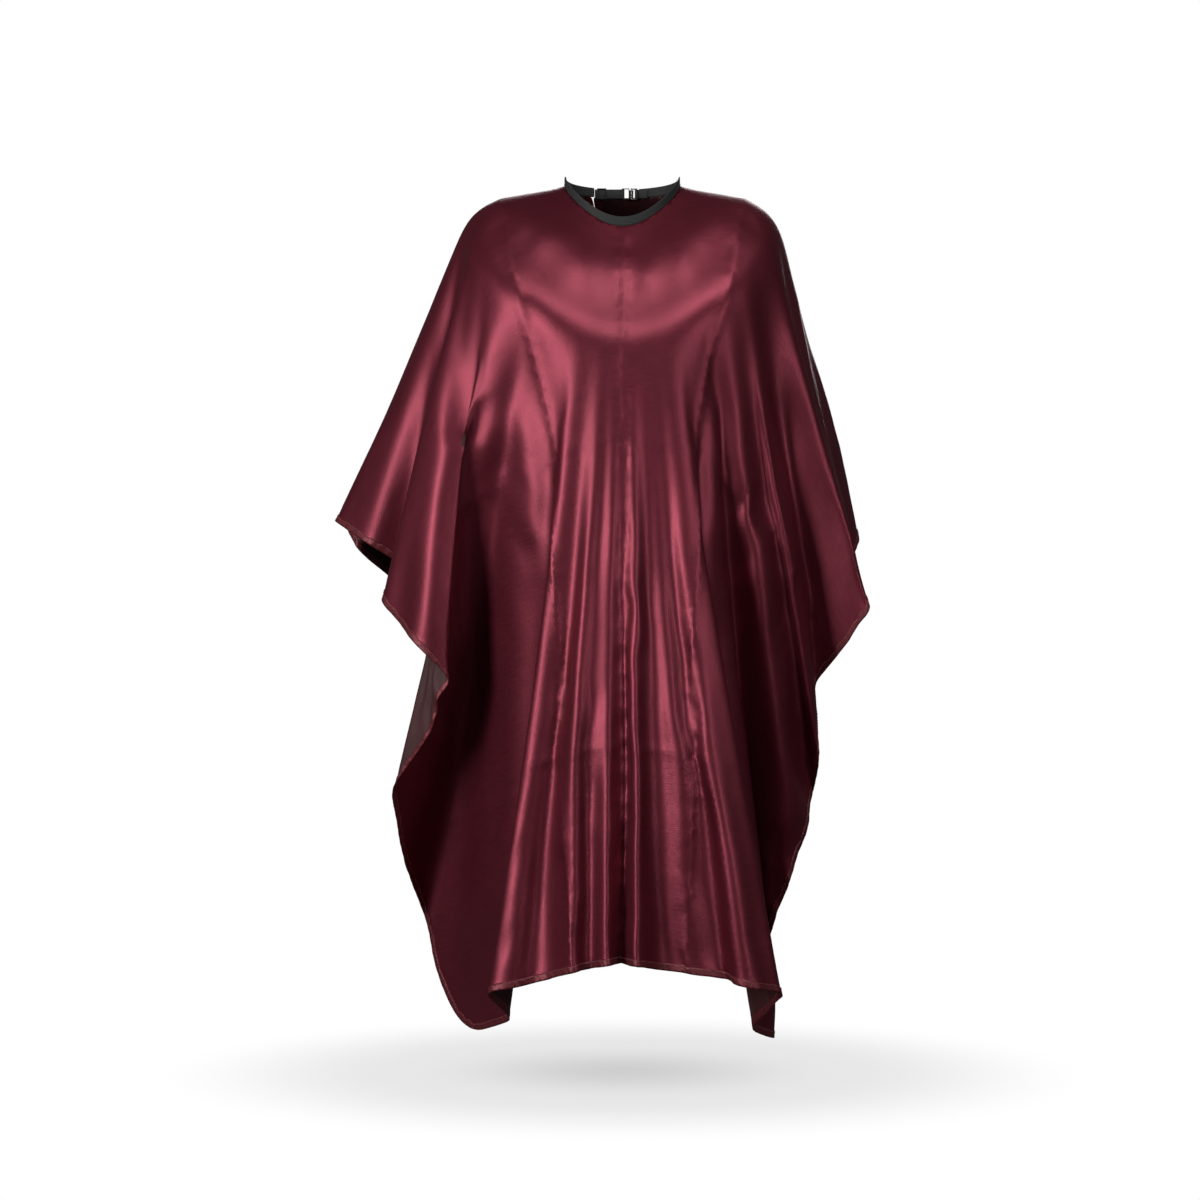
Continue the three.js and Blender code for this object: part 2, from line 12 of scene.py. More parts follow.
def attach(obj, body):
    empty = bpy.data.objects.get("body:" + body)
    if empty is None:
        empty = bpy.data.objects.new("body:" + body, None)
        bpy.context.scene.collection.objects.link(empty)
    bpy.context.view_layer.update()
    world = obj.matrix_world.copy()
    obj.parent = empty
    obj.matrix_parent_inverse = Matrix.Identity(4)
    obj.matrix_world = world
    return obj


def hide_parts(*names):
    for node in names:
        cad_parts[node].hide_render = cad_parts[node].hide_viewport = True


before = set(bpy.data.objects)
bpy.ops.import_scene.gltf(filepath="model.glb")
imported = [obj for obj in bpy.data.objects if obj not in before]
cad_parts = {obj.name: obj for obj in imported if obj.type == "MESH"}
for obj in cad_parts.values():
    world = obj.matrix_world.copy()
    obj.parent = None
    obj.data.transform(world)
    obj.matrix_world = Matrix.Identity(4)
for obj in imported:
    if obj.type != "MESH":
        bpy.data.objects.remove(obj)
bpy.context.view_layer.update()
scene = bpy.context.scene

# ---- Sizes that the design gives, repeated here in metres ---------------------------

CAPE_WIDTH = 1.3
FRONT_LENGTH = 1.02
BACK_LENGTH = 0.48
CORNER_RADIUS = 0.1
SLIT_X = -0.039
SLIT_GAP = 0.005
SLIT_EASE = 0.05  # the width beside the slit over which the cloth is eased shut
SLIT_SHUT = 0.48  # the share of the slit's gap that each side gives up at its edge
NECK_HALF_WIDTH = 0.074
NECK_HALF_DEPTH = 0.061
BAND_HEIGHT = 0.012
BAND_THICKNESS = 0.002
SEAM_TUCK = 0.001  # how far the sheet's neck edge runs up inside the band
BINDING_WIDTH = 0.008
LABEL_WIDTH = 0.016
LABEL_LENGTH = 0.045
LABEL_ANGLE = -55  # from the front, in degrees

# The folds from the front round to the slit, each with its angle from the front in
# degrees, its lean towards +X and its way. The way is -1 where the sheet comes forward
# from the last fold and +1 where it goes back.
LEFT_FOLDS = [
    (-3.5, -0.02, -1), (-6.5, -0.035, 1), (-9, -0.05, -1), (-11.5, -0.07, 1),
    (-14, -0.09, 1), (-16, -0.115, -1), (-18, -0.15, 1), (-24, -0.07, 1),
    (-28, -0.1, 1), (-36.5, -0.16, 1), (-41.5, -0.205, -1), (-46.5, -0.24, -1),
    (-58.5, -0.06, -1), (-62.5, -0.125, -1), (-69, -0.22, 1), (-77, -0.15, 1),
    (-84, -0.27, -1), (-91, -0.39, 1), (-97, -0.4, 1), (-104, -0.345, -1),
    (-113, -0.265, 1), (-121, -0.21, -1), (-130, -0.195, 1), (-139, -0.205, -1),
    (-149, -0.18, 1), (-159, -0.15, -1), (-169, -0.09, 1), (-178, -0.05, -1),
]
RIGHT_FOLDS = [
    (3.5, 0.01, -1), (7.5, 0.04, 1), (10, 0.075, -1), (12.5, 0.1, 1),
    (15.5, 0.125, -1), (19, 0.185, 1), (25, 0.095, 1), (30, 0.12, 1),
    (35, 0.07, 1), (41, 0.12, -1), (46, 0.165, 1), (50, 0.17, -1),
    (56, 0.145, 1), (61, 0.205, -1), (67, 0.275, -1), (76, 0.185, 1),
    (84, 0.25, 1), (94, 0.175, -1), (104, 0.23, 1), (115, 0.135, -1),
    (126, 0.2, 1), (136, 0.145, -1), (146, 0.19, 1), (156, 0.16, -1),
    (166, 0.115, 1), (176, 0.015, -1), (186, -0.02, 1), (196, 0.015, -1),
    (212, 0.115, 1),
]
CENTRE_LEAN = (0.0, -0.02)
FOLD_ROUNDING = math.radians(1.0)
FULLNESS = 1.1  # extra lean between folds, for the cloth's width over the shoulders

# The neck edge's height, and how far it drops in front and behind
NECK_TOP = -0.005
FRONT_DROP, FRONT_DROP_POWER = 0.06, 1.3
BACK_DROP, BACK_DROP_POWER = 0.008, 1.5

# How the sheet leaves the neck, in degrees below level, and where it turns down
SHOULDER_SLOPE = 13
CHEST_SLOPE = 55
BACK_SLOPE = 60
SLOPE_POWER = 1.5
SHOULDER_RADIUS = 0.165
CHEST_RADIUS = 0.205
TURN_LENGTH = 0.08

# The sheet's mesh, and the lines of its storage creases
MESH_STEP = 0.0115
ROW_SHARE = 0.866  # the height of a row of points, as a share of the step
JITTER = 0.05  # how far points stray from their rows, as a share of the step
LINE_SPACE = 0.6  # how near they may lie to a line of points, as a share of the step
CREASES_ACROSS = (-0.1625, 0.0, 0.1625)
CREASES_ALONG = (-0.375, -0.75)


# ---- The flat sheet -----------------------------------------------------------------


def smooth(t):
    """Eases from 0 to 1 as t goes from 0 to 1."""
    t = np.clip(t, 0, 1)
    return t * t * (3 - 2 * t)


def neck_radius(angle):
    """Radius of the neck opening: rounder in front, flatter at the back."""
    power = np.where(np.cos(angle) > 0, 2, 3)
    across = np.abs(np.sin(angle)) / NECK_HALF_WIDTH
    along = np.abs(np.cos(angle)) / NECK_HALF_DEPTH
    return (across**power + along**power) ** (-1 / power)


def neck_back_y(x):
    """Place of the neck opening's back edge, at a distance across."""
    return NECK_HALF_DEPTH * (1 - abs(x / NECK_HALF_WIDTH) ** 3) ** (1 / 3)


def sheet_angle(x, y):
    """Angle of a flat point from the front, running on past the back up to the slit."""
    angle = np.arctan2(x, -y)
    return np.where((y > 0) & (x > SLIT_X) & (angle < 0), angle + 2 * np.pi, angle)


def line(start, end, step):
    """Points from the start up to, but not including, the end."""
    count = max(1, round(math.dist(start, end) / step))
    shares = [i / count for i in range(count)]
    return [tuple(a + (b - a) * t for a, b in zip(start, end)) for t in shares]


def corner(centre, radius, first, step):
    """A quarter turn, clockwise as seen from above, from an angle given in quarter turns."""
    count = max(4, round(radius * math.pi / 2 / step))
    angles = [(first - i / count) * math.pi / 2 for i in range(count)]
    x, y = centre
    return [(x + radius * math.cos(a), y + radius * math.sin(a)) for a in angles]


def edge_path(inset, step):
    """Up the slit's right edge, round the hem and down the slit's left edge."""
    half = CAPE_WIDTH / 2
    centre_x = half - CORNER_RADIUS
    back_y = BACK_LENGTH - CORNER_RADIUS
    front_y = CORNER_RADIUS - FRONT_LENGTH
    radius = CORNER_RADIUS - inset
    right = SLIT_X + SLIT_GAP / 2 + inset
    left = SLIT_X - SLIT_GAP / 2 - inset
    top = BACK_LENGTH - inset
    low = inset - FRONT_LENGTH
    side = half - inset
    path = line((right, neck_back_y(right)), (right, top), step)
    path += line((right, top), (centre_x, top), step)
    path += corner((centre_x, back_y), radius, 1, step)
    path += line((side, back_y), (side, front_y), step)
    path += corner((centre_x, front_y), radius, 0, step)
    path += line((centre_x, low), (-centre_x, low), step)
    path += corner((-centre_x, front_y), radius, -1, step)
    path += line((-side, front_y), (-side, back_y), step)
    path += corner((-centre_x, back_y), radius, 2, step)
    path += line((-centre_x, top), (left, top), step)
    path += line((left, top), (left, neck_back_y(left)), step)
    return path + [(left, neck_back_y(left))]


def neck_path(step):
    """Round the neck from the slit's left edge past the front to its right edge."""
    left = SLIT_X - SLIT_GAP / 2
    right = SLIT_X + SLIT_GAP / 2
    first = math.atan2(left, -neck_back_y(left))
    last = math.atan2(right, -neck_back_y(right)) + 2 * math.pi
    count = round(2 * math.pi * NECK_HALF_WIDTH / step)
    angles = np.linspace(first, last, count + 1)[1:-1]
    pairs = zip(angles, neck_radius(angles))
    return [(float(r * math.sin(a)), float(-r * math.cos(a))) for a, r in pairs]


def crease_lines(step):
    """The lines along which the sheet was folded up for storage."""
    lines = []
    low = BINDING_WIDTH - FRONT_LENGTH
    for x in CREASES_ACROSS:
        high = -NECK_HALF_DEPTH - step if x == 0 else BACK_LENGTH - BINDING_WIDTH
        lines.append(line((x, low), (x, high), step) + [(x, high)])
    side = CAPE_WIDTH / 2 - BINDING_WIDTH
    for y in CREASES_ALONG:
        lines.append(line((-side, y), (side, y), step) + [(side, y)])
    return lines


def edge_inset(x, y):
    """Distance of a flat point from the nearest bound edge."""
    centre_y = (BACK_LENGTH - FRONT_LENGTH) / 2
    half_y = (BACK_LENGTH + FRONT_LENGTH) / 2
    qx = np.abs(x) - CAPE_WIDTH / 2 + CORNER_RADIUS
    qy = np.abs(y - centre_y) - half_y + CORNER_RADIUS
    outside = np.hypot(np.maximum(qx, 0), np.maximum(qy, 0))
    hem = CORNER_RADIUS - outside - np.minimum(np.maximum(qx, qy), 0)
    slit = np.where(y > 0, np.abs(x - SLIT_X) - SLIT_GAP / 2, 1)
    return np.minimum(hem, slit)


def flat_sheet(step):
    """Points and triangles of the flat sheet, with points along its creases and binding."""
    outline = edge_path(0, step) + neck_path(step / 2)
    lines = [edge_path(BINDING_WIDTH, step), *crease_lines(step)]
    points = list(outline)
    edges = [(i, (i + 1) % len(outline)) for i in range(len(outline))]
    for row in lines:
        edges += [(len(points) + i, len(points) + i + 1) for i in range(len(row) - 1)]
        points += row
    fixed = np.array(points)
    random = np.random.default_rng(3)
    rows = int((FRONT_LENGTH + BACK_LENGTH) / (step * ROW_SHARE))
    grid = []
    for r in range(1, rows):
        y = -FRONT_LENGTH + r * (FRONT_LENGTH + BACK_LENGTH) / rows
        xs = np.arange(-CAPE_WIDTH / 2 + (r % 2) * step / 2, CAPE_WIDTH / 2, step)
        grid.append(np.stack([xs, np.full(len(xs), y)], 1))
    grid = np.concatenate(grid)
    grid += random.uniform(-JITTER, JITTER, grid.shape) * step
    inside = edge_inset(grid[:, 0], grid[:, 1]) > 0
    angle = np.arctan2(grid[:, 0], -grid[:, 1])
    inside &= np.hypot(grid[:, 0], grid[:, 1]) > neck_radius(angle)
    grid = grid[inside]
    nearest = np.array([np.hypot(*(fixed - p).T).min() for p in grid])
    points += [tuple(p) for p in grid[nearest > LINE_SPACE * step]]
    loop = [list(range(len(outline)))]
    vectors = [Vector(p) for p in points]
    verts, _, faces, *_ = geometry.delaunay_2d_cdt(vectors, edges, loop, 1, 1e-6)
    flat = np.array([(v.x, v.y) for v in verts])
    return flat, np.array([list(f) for f in faces])


# ---- The drape ----------------------------------------------------------------------


def fold_table():
    """Angles and leans of the folds. The cloth hardly stretches, so the lean moves as far
    as the angle does, and the lean towards +Y follows from that towards +X."""
    rows = [(0.0, *CENTRE_LEAN)]
    for folds in (LEFT_FOLDS, RIGHT_FOLDS):
        angle, lean_x, lean_y = 0.0, *CENTRE_LEAN
        for degrees, next_x, way in folds:
            next_angle = math.radians(degrees)
            spare = (FULLNESS * (next_angle - angle)) ** 2 - (next_x - lean_x) ** 2
            lean_y += way * math.sqrt(max(spare, 0))
            angle, lean_x = next_angle, next_x
            rows.append((angle, lean_x, lean_y))
    return np.array(sorted(rows))


FOLDS = fold_table()


def hang_direction(angle):
    """Direction in which the sheet hangs: straight from fold to fold, rounded at each."""
    lean = np.zeros((len(angle), 2))
    shares = (-1, -0.6, -0.2, 0.2, 0.6, 1)
    for share in shares:
        at = angle + share * FOLD_ROUNDING
        lean[:, 0] += np.interp(at, FOLDS[:, 0], FOLDS[:, 1]) / len(shares)
        lean[:, 1] += np.interp(at, FOLDS[:, 0], FOLDS[:, 2]) / len(shares)
    down = -np.sqrt(1 - (lean**2).sum(1))
    return np.column_stack([lean, down])


def body_direction(angle):
    """Direction in which the sheet lies on the shoulders, the chest and the back."""
    cosine = np.cos(angle)
    steep = np.where(cosine > 0, CHEST_SLOPE, BACK_SLOPE)
    share = np.abs(cosine) ** SLOPE_POWER
    slope = np.radians(SHOULDER_SLOPE + (steep - SHOULDER_SLOPE) * share)
    out = np.cos(slope)
    return np.stack([out * np.sin(angle), -out * cosine, -np.sin(slope)], 1)


def neck_height(angle):
    """Height of the neckband's middle."""
    cosine = np.cos(angle)
    front = FRONT_DROP * np.maximum(0, cosine) ** FRONT_DROP_POWER
    back = BACK_DROP * np.maximum(0, -cosine) ** BACK_DROP_POWER
    return NECK_TOP - front - back


def slit_closed(flat):
    """Flat points moved towards the slit, so that its two edges all but meet."""
    aside = flat[:, 0] - SLIT_X
    near = np.clip(1 - np.abs(aside) / SLIT_EASE, 0, 1) * (flat[:, 1] > 0)
    return np.column_stack([flat[:, 0] - np.sign(aside) * near * SLIT_GAP * SLIT_SHUT, flat[:, 1]])


def drape(flat, steps=80):
    """Places of flat points on the hanging sheet, followed outwards from the neck."""
    flat = slit_closed(flat)
    angle = sheet_angle(flat[:, 0], flat[:, 1])
    start = neck_radius(angle)
    length = np.maximum(np.hypot(flat[:, 0], flat[:, 1]) - start, 0)
    turn = SHOULDER_RADIUS + (CHEST_RADIUS - SHOULDER_RADIUS) * np.abs(np.cos(angle))
    lying, hanging = body_direction(angle), hang_direction(angle)
    edge_z = neck_height(angle) - BAND_HEIGHT / 2 + SEAM_TUCK
    place = np.stack([start * np.sin(angle), -start * np.cos(angle), edge_z], 1)
    for i in range(steps):
        radius = start + length * (i + 0.5) / steps
        share = smooth((radius - turn) / TURN_LENGTH)[:, None]
        direction = lying * (1 - share) + hanging * share
        direction /= np.linalg.norm(direction, axis=1)[:, None]
        place += direction * (length / steps)[:, None]
    return place


def linked(name, data):
    """A new object in the scene."""
    obj = bpy.data.objects.new(name, data)
    scene.collection.objects.link(obj)
    return obj


def shaded(mesh, smooth_shaded=True):
    mesh.polygons.foreach_set("use_smooth", [smooth_shaded] * len(mesh.polygons))
    return mesh


def mesh_object(name, verts, faces, smooth_shaded=True):
    mesh = bpy.data.meshes.new(name)
    mesh.from_pydata([tuple(v) for v in verts], [], [tuple(int(i) for i in f) for f in faces])
    mesh.update()
    return linked(name, shaded(mesh, smooth_shaded))


# ---- The cloth simulation -----------------------------------------------------------

# The wearer's figure that the cape hangs on while it settles, as heights, half widths and
# half depths of level sections. It is removed once the cloth has its shape.
FIGURE = [
    (0.1, 0.05, 0.05), (0.0, 0.06, 0.05), (-0.015, 0.09, 0.052), (-0.024, 0.13, 0.055),
    (-0.036, 0.163, 0.06), (-0.054, 0.184, 0.066), (-0.08, 0.192, 0.078),
    (-0.11, 0.192, 0.088), (-0.15, 0.186, 0.098), (-0.2, 0.174, 0.106),
    (-0.27, 0.16, 0.104), (-0.35, 0.138, 0.094), (-0.42, 0.126, 0.086),
    (-0.5, 0.14, 0.094), (-0.6, 0.16, 0.104), (-0.8, 0.16, 0.1),
]
SECTION_POWER = 0.9  # 1 would make each section an ellipse
CHEST_PLACE = (0.078, -0.195)  # across and up, of each side's fullness at the chest
CHEST_SIZE = (0.055, 0.065)
CHEST_DEPTH = 0.03
ARMS = [
    ((-0.15, 0, -0.1), (-0.32, 0.05, -0.44)),
    ((0.15, 0, -0.1), (0.265, -0.03, -0.52)),
]
ARM_RADII = (0.042, 0.03)
ARM_END = 0.6  # the share of its radius that an arm keeps at its ends
CONTACT = 0.004  # how near the cloth comes to the figure and to itself
SIM_FRAMES = 6
SIM_CAP = 0.009  # the furthest that a point may settle from the drape
NECK_STAY = 0.15  # from the neck outwards, the width over which settling sets in


def tube_between(name, rings):
    """A closed tube through rings of points, with flat ends."""
    count = len(rings[0])
    faces = [tuple(range(count))[::-1]]
    for i in range(len(rings) - 1):
        for j in range(count):
            k = (j + 1) % count
            faces.append((i * count + j, i * count + k, (i + 1) * count + k, (i + 1) * count + j))
    faces.append(tuple((len(rings) - 1) * count + j for j in range(count)))
    return mesh_object(name, [p for ring in rings for p in ring], faces)


def figure_body(levels=95, sides=64):
    """The trunk, from its table of sections."""
    table = np.array(FIGURE)[::-1]
    heights = np.linspace(table[0, 0], table[-1, 0], levels)
    turn = np.linspace(0, 2 * np.pi, sides, endpoint=False)
    rings = []
    for z in heights:
        width, depth = (np.interp(z, table[:, 0], table[:, k]) for k in (1, 2))
        x = width * np.sign(np.cos(turn)) * np.abs(np.cos(turn)) ** SECTION_POWER
        y = depth * np.sign(np.sin(turn)) * np.abs(np.sin(turn)) ** SECTION_POWER
        for side in (-1, 1):
            aside = (x - side * CHEST_PLACE[0]) / CHEST_SIZE[0]
            above = (z - CHEST_PLACE[1]) / CHEST_SIZE[1]
            y = np.where(y < 0, y - CHEST_DEPTH * np.exp(-(aside**2) - above**2), y)
        rings.append(list(zip(x, y, np.full(len(x), z))))
    return tube_between("figure", rings)


def figure_arm(start, end, count=24):
    """A tapering arm with blunt ends."""
    start, end = Vector(start), Vector(end)
    turn = (end - start).to_track_quat("Z", "Y")
    around = [2 * math.pi * j / count for j in range(count)]
    rings = []
    for i in range(count + 1):
        share = i / count
        radius = ARM_RADII[0] + (ARM_RADII[1] - ARM_RADII[0]) * share
        radius *= ARM_END if i in (0, count) else 1
        centre = start.lerp(end, share)
        level = [Vector((radius * math.cos(a), radius * math.sin(a), 0)) for a in around]
        rings.append([centre + turn @ p for p in level])
    return tube_between("arm", rings)


def remove(obj):
    """Removes an object and its mesh."""
    mesh = obj.data
    bpy.data.objects.remove(obj)
    bpy.data.meshes.remove(mesh)


def settle(flat, faces, start):
    """Lets the cloth settle on the figure from its start shape, and returns its points.
    Its cut lengths are the flat sheet's, and its neck edge is pinned."""
    cloth_object = mesh_object("cloth", start, faces)
    pinned = np.abs(np.hypot(*flat.T) - neck_radius(sheet_angle(*flat.T))) < 1e-4
    group = cloth_object.vertex_groups.new(name="neck")
    group.add([int(i) for i in np.flatnonzero(pinned)], 1, "REPLACE")
    cloth_object.shape_key_add(name="Basis")
    key = cloth_object.shape_key_add(name="flat")
    key.data.foreach_set("co", np.column_stack([flat, np.zeros(len(flat))]).ravel())
    solids = [figure_body(), *(figure_arm(*ends) for ends in ARMS)]
    for solid in solids:
        solid.modifiers.new("collision", "COLLISION")
        solid.collision.thickness_outer = CONTACT
        solid.collision.cloth_friction = 8
    cloth = cloth_object.modifiers.new("cloth", "CLOTH")
    # A light cloth that hardly stretches, and bends stiffly enough to keep broad folds
    settings = cloth.settings
    settings.rest_shape_key = key
    settings.quality = 8
    settings.mass = 0.15
    settings.tension_stiffness = 40
    settings.compression_stiffness = 40
    settings.shear_stiffness = 20
    settings.bending_stiffness = 50
    settings.vertex_group_mass = "neck"
    contact = cloth.collision_settings
    contact.distance_min = CONTACT
    contact.collision_quality = 3
    contact.use_self_collision = True
    contact.self_distance_min = CONTACT
    contact.self_friction = 3
    scene.frame_start = 1
    scene.frame_end = SIM_FRAMES
    cloth.point_cache.frame_start = 1
    cloth.point_cache.frame_end = SIM_FRAMES
    for number in range(1, SIM_FRAMES + 1):
        scene.frame_set(number)
    settled = cloth_object.evaluated_get(bpy.context.evaluated_depsgraph_get())
    points = np.zeros(len(flat) * 3)
    settled.data.vertices.foreach_get("co", points)
    moved = points.reshape(-1, 3) - start
    length = np.linalg.norm(moved, axis=1)[:, None]
    moved *= np.minimum(1, SIM_CAP / np.maximum(length, 1e-9))
    from_neck = np.hypot(*flat.T) - NECK_HALF_WIDTH
    moved *= smooth(from_neck / NECK_STAY)[:, None]
    for solid in (cloth_object, *solids):
        remove(solid)
    scene.frame_set(1)
    return start + moved


# ---- The finished surface of the sheet ----------------------------------------------

SMOOTHINGS = 2  # rounds of evening
RISE_ACROSS = 0.0014  # how far the upright storage creases stand up from the cloth
RISE_ALONG = 0.0005  # the same for the level ones
CREASE_SHARPNESS = 0.6
CLOTH_THICKNESS = 0.00035


def evened(faces, points, rounds):
    """Points moved halfway to the middle of their neighbours, which rounds the pleats."""
    edges = np.concatenate([faces[:, [0, 1]], faces[:, [1, 2]], faces[:, [2, 0]]])
    both = np.sort(edges, axis=1)
    unique, times = np.unique(both, axis=0, return_counts=True)
    rim = np.unique(unique[times == 1])
    count = np.bincount(unique.ravel(), minlength=len(points))[:, None]
    for _ in range(rounds):
        total = np.zeros_like(points)
        np.add.at(total, unique[:, 0], points[unique[:, 1]])
        np.add.at(total, unique[:, 1], points[unique[:, 0]])
        moved = (points + total / count) / 2
        moved[rim] = points[rim]
        points = moved
    return points


def on_crease(flat):
    """For each flat point, the number of the crease it lies on, or 0."""
    number = np.zeros(len(flat), int)
    creases = [(0, x) for x in CREASES_ACROSS] + [(1, y) for y in CREASES_ALONG]
    for i, (axis, place) in enumerate(creases):
        number[np.abs(flat[:, axis] - place) < 1e-5] = i + 1
    number[edge_inset(*flat.T) < BINDING_WIDTH] = 0
    return number


def applied(obj):
    """The object's mesh with its modifiers applied; the object itself is removed."""
    depsgraph = bpy.context.evaluated_depsgraph_get()
    mesh = bpy.data.meshes.new_from_object(obj.evaluated_get(depsgraph))
    remove(obj)
    return mesh


def subdivided(obj, levels):
    """The object's mesh, subdivided with its flat places kept in proportion."""
    smoother = obj.modifiers.new("smooth", "SUBSURF")
    smoother.levels = levels
    smoother.uv_smooth = "NONE"
    return applied(obj)


def vertex_normals(mesh):
    normals = np.zeros(len(mesh.vertices) * 3)
    mesh.vertex_normals.foreach_get("vector", normals)
    return normals.reshape(-1, 3)


def vertex_places(mesh):
    places = np.zeros(len(mesh.vertices) * 3)
    mesh.vertices.foreach_get("co", places)
    return places.reshape(-1, 3)


def corner_vertices(mesh):
    corners = np.zeros(len(mesh.loops), int)
    mesh.loops.foreach_get("vertex_index", corners)
    return corners


def flat_places(mesh):
    """The vertices' places on the flat sheet, from the mesh's UV map."""
    uv = np.zeros(len(mesh.loops) * 2)
    mesh.uv_layers["flat"].data.foreach_get("uv", uv)
    flat = np.zeros((len(mesh.vertices), 2))
    flat[corner_vertices(mesh)] = uv.reshape(-1, 2)
    return flat


def refined(flat, faces, points, levels):
    """The sheet as a smooth mesh of quads: its flat places, quads, places and normals."""
    rough = mesh_object("rough", points, faces)
    crease = on_crease(flat)
    rises = [0] + [RISE_ACROSS] * len(CREASES_ACROSS) + [RISE_ALONG] * len(CREASES_ALONG)
    raised = points + vertex_normals(rough.data) * np.array(rises)[crease][:, None]
    rough.data.vertices.foreach_set("co", raised.ravel())
    ends = np.zeros(len(rough.data.edges) * 2, int)
    rough.data.edges.foreach_get("vertices", ends)
    first, second = crease[ends.reshape(-1, 2)].T
    sharp = rough.data.attributes.new("crease_edge", "FLOAT", "EDGE")
    sharp.data.foreach_set("value", CREASE_SHARPNESS * ((first > 0) & (first == second)))
    uv = rough.data.uv_layers.new(name="flat")
    uv.data.foreach_set("uv", flat[corner_vertices(rough.data)].ravel())
    mesh = subdivided(rough, levels)
    quads = corner_vertices(mesh).reshape(-1, 4)
    return flat_places(mesh), quads, vertex_places(mesh), vertex_normals(mesh)


class Surface:
    """The finished sheet, on which trims are placed by their flat places."""

    def __init__(self, flat, quads, places, normals):
        self.flat, self.quads, self.places, self.normals = flat, quads, places, normals
        self.triangles = np.concatenate([quads[:, [0, 1, 2]], quads[:, [0, 2, 3]]])
        level = [(x, y, 0) for x, y in flat]
        self.level = [Vector(p) for p in level]
        self.tree = BVHTree.FromPolygons(level, self.triangles.tolist())

    def at(self, x, y, lift=0.0):
        """The place over a flat point, lifted along the sheet's normal."""
        found, _, index, _ = self.tree.find_nearest((x, y, 0))
        corners = self.triangles[index]
        flat = [self.level[i] for i in corners]

        def blended(values):
            at_corners = (Vector(values[i]) for i in corners)
            return geometry.barycentric_transform(found, *flat, *at_corners)

        return blended(self.places) + blended(self.normals).normalized() * lift


def part_of_sheet(name, surface, keep):
    """The stretch of the sheet whose quads' middles pass the test, with its flat UV map."""
    middles = surface.flat[surface.quads].mean(1)
    quads = surface.quads[keep(*middles.T)]
    used, packed = np.unique(quads, return_inverse=True)
    obj = mesh_object(name, surface.places[used], packed.reshape(-1, 4))
    uv = obj.data.uv_layers.new(name="flat")
    uv.data.foreach_set("uv", surface.flat[quads.ravel()].ravel())
    return obj


def thickened(obj, thickness, offset, inner_slot=0):
    """Gives an open sheet a real thickness, and its inner side the material of a slot."""
    shell = obj.modifiers.new("thickness", "SOLIDIFY")
    shell.thickness = thickness
    shell.offset = offset
    shell.material_offset = inner_slot
    return obj


# ---- Trims --------------------------------------------------------------------------

STITCH_PITCH = 0.0042
STITCH_LENGTH = 0.0029
STITCH_RADIUS = 0.0003
STITCH_INSET = 0.0013  # from the tape's inner edge to the row of stitches
STITCH_LIFT = 0.0002
PUCKER_PITCH = 0.017
PUCKER_DEPTH = 0.0002
TAPE_THICKNESS = 0.0013
LABEL_LIFT = 0.0007
LABEL_THICKNESS = 0.0006
LABEL_HEM = 0.0005  # from the binding to the label's lower edge
LABEL_CURL = 0.0006  # how far its long edges lift
LABEL_WAVE = 0.0003


def hem_binding(surface):
    """The folded tape along the hem and the slit, puckered by its stitching."""
    tape = part_of_sheet("hem_binding", surface, lambda x, y: edge_inset(x, y) < BINDING_WIDTH)
    mesh = subdivided(tape, 1)
    along = flat_places(mesh).sum(1) * 2 * math.pi / PUCKER_PITCH
    # Three waves out of step, so that the puckers never quite repeat
    wave = np.sin(along) + 0.6 * np.sin(along * 0.37 + 1) + 0.4 * np.sin(along * 2.3 + 2)
    places = vertex_places(mesh) + vertex_normals(mesh) * (PUCKER_DEPTH * wave)[:, None]
    mesh.vertices.foreach_set("co", places.ravel())
    mesh.name = "hem_binding"
    return thickened(linked("hem_binding", shaded(mesh)), TAPE_THICKNESS, 0)


def stitches(name, ends, radius=STITCH_RADIUS, sides=6):
    """Short raised threads, each from a place to a place with the way up between them."""
    verts, faces = [], []
    # Along each thread: the share of its length, its size and its rise, both in radii
    profile = [(0, 0.35, -0.3), (0.2, 1, 0.5), (0.5, 1.1, 0.9), (0.8, 1, 0.5), (1, 0.35, -0.3)]
    for start, end, up in ends:
        along = (end - start).normalized()
        side = along.cross(up).normalized()
        base = len(verts)
        for share, size, rise in profile:
            centre = start.lerp(end, share) + up * (rise * radius)
            for k in range(sides):
                turn = 2 * math.pi * k / sides
                out = side * math.cos(turn) + up * math.sin(turn)
                verts.append(centre + out * (size * radius))
        for r in range(len(profile) - 1):
            for k in range(sides):
                a, b = base + r * sides + k, base + r * sides + (k + 1) % sides
                faces.append((a, b, b + sides, a + sides))
        last = base + (len(profile) - 1) * sides
        faces.append(tuple(base + k for k in range(sides))[::-1])
        faces.append(tuple(last + k for k in range(sides)))
    return mesh_object(name, verts, faces)


def walk(path, pitch, length):
    """Pairs of flat points, a length apart, at a pitch along a path."""
    path = np.array(path)
    run = np.concatenate([[0], np.cumsum(np.linalg.norm(np.diff(path, axis=0), axis=1))])
    starts = np.arange(pitch / 2, run[-1] - length, pitch)

    def place(at):
        return np.column_stack([np.interp(at, run, path[:, k]) for k in (0, 1)])

    return zip(place(starts), place(starts + length))


def hem_stitches(surface):
    """The row of stitches that holds the tape, on its outer face."""
    lift = TAPE_THICKNESS / 2 + STITCH_LIFT
    path = edge_path(BINDING_WIDTH - STITCH_INSET, 0.004)
    pairs = []
    for start, end in walk(path, STITCH_PITCH, STITCH_LENGTH):
        a, b = surface.at(*start, lift), surface.at(*end, lift)
        up = (surface.at(*start, lift + 0.001) - a).normalized()
        pairs.append((a, b, up))
    return stitches("hem_stitches", pairs)


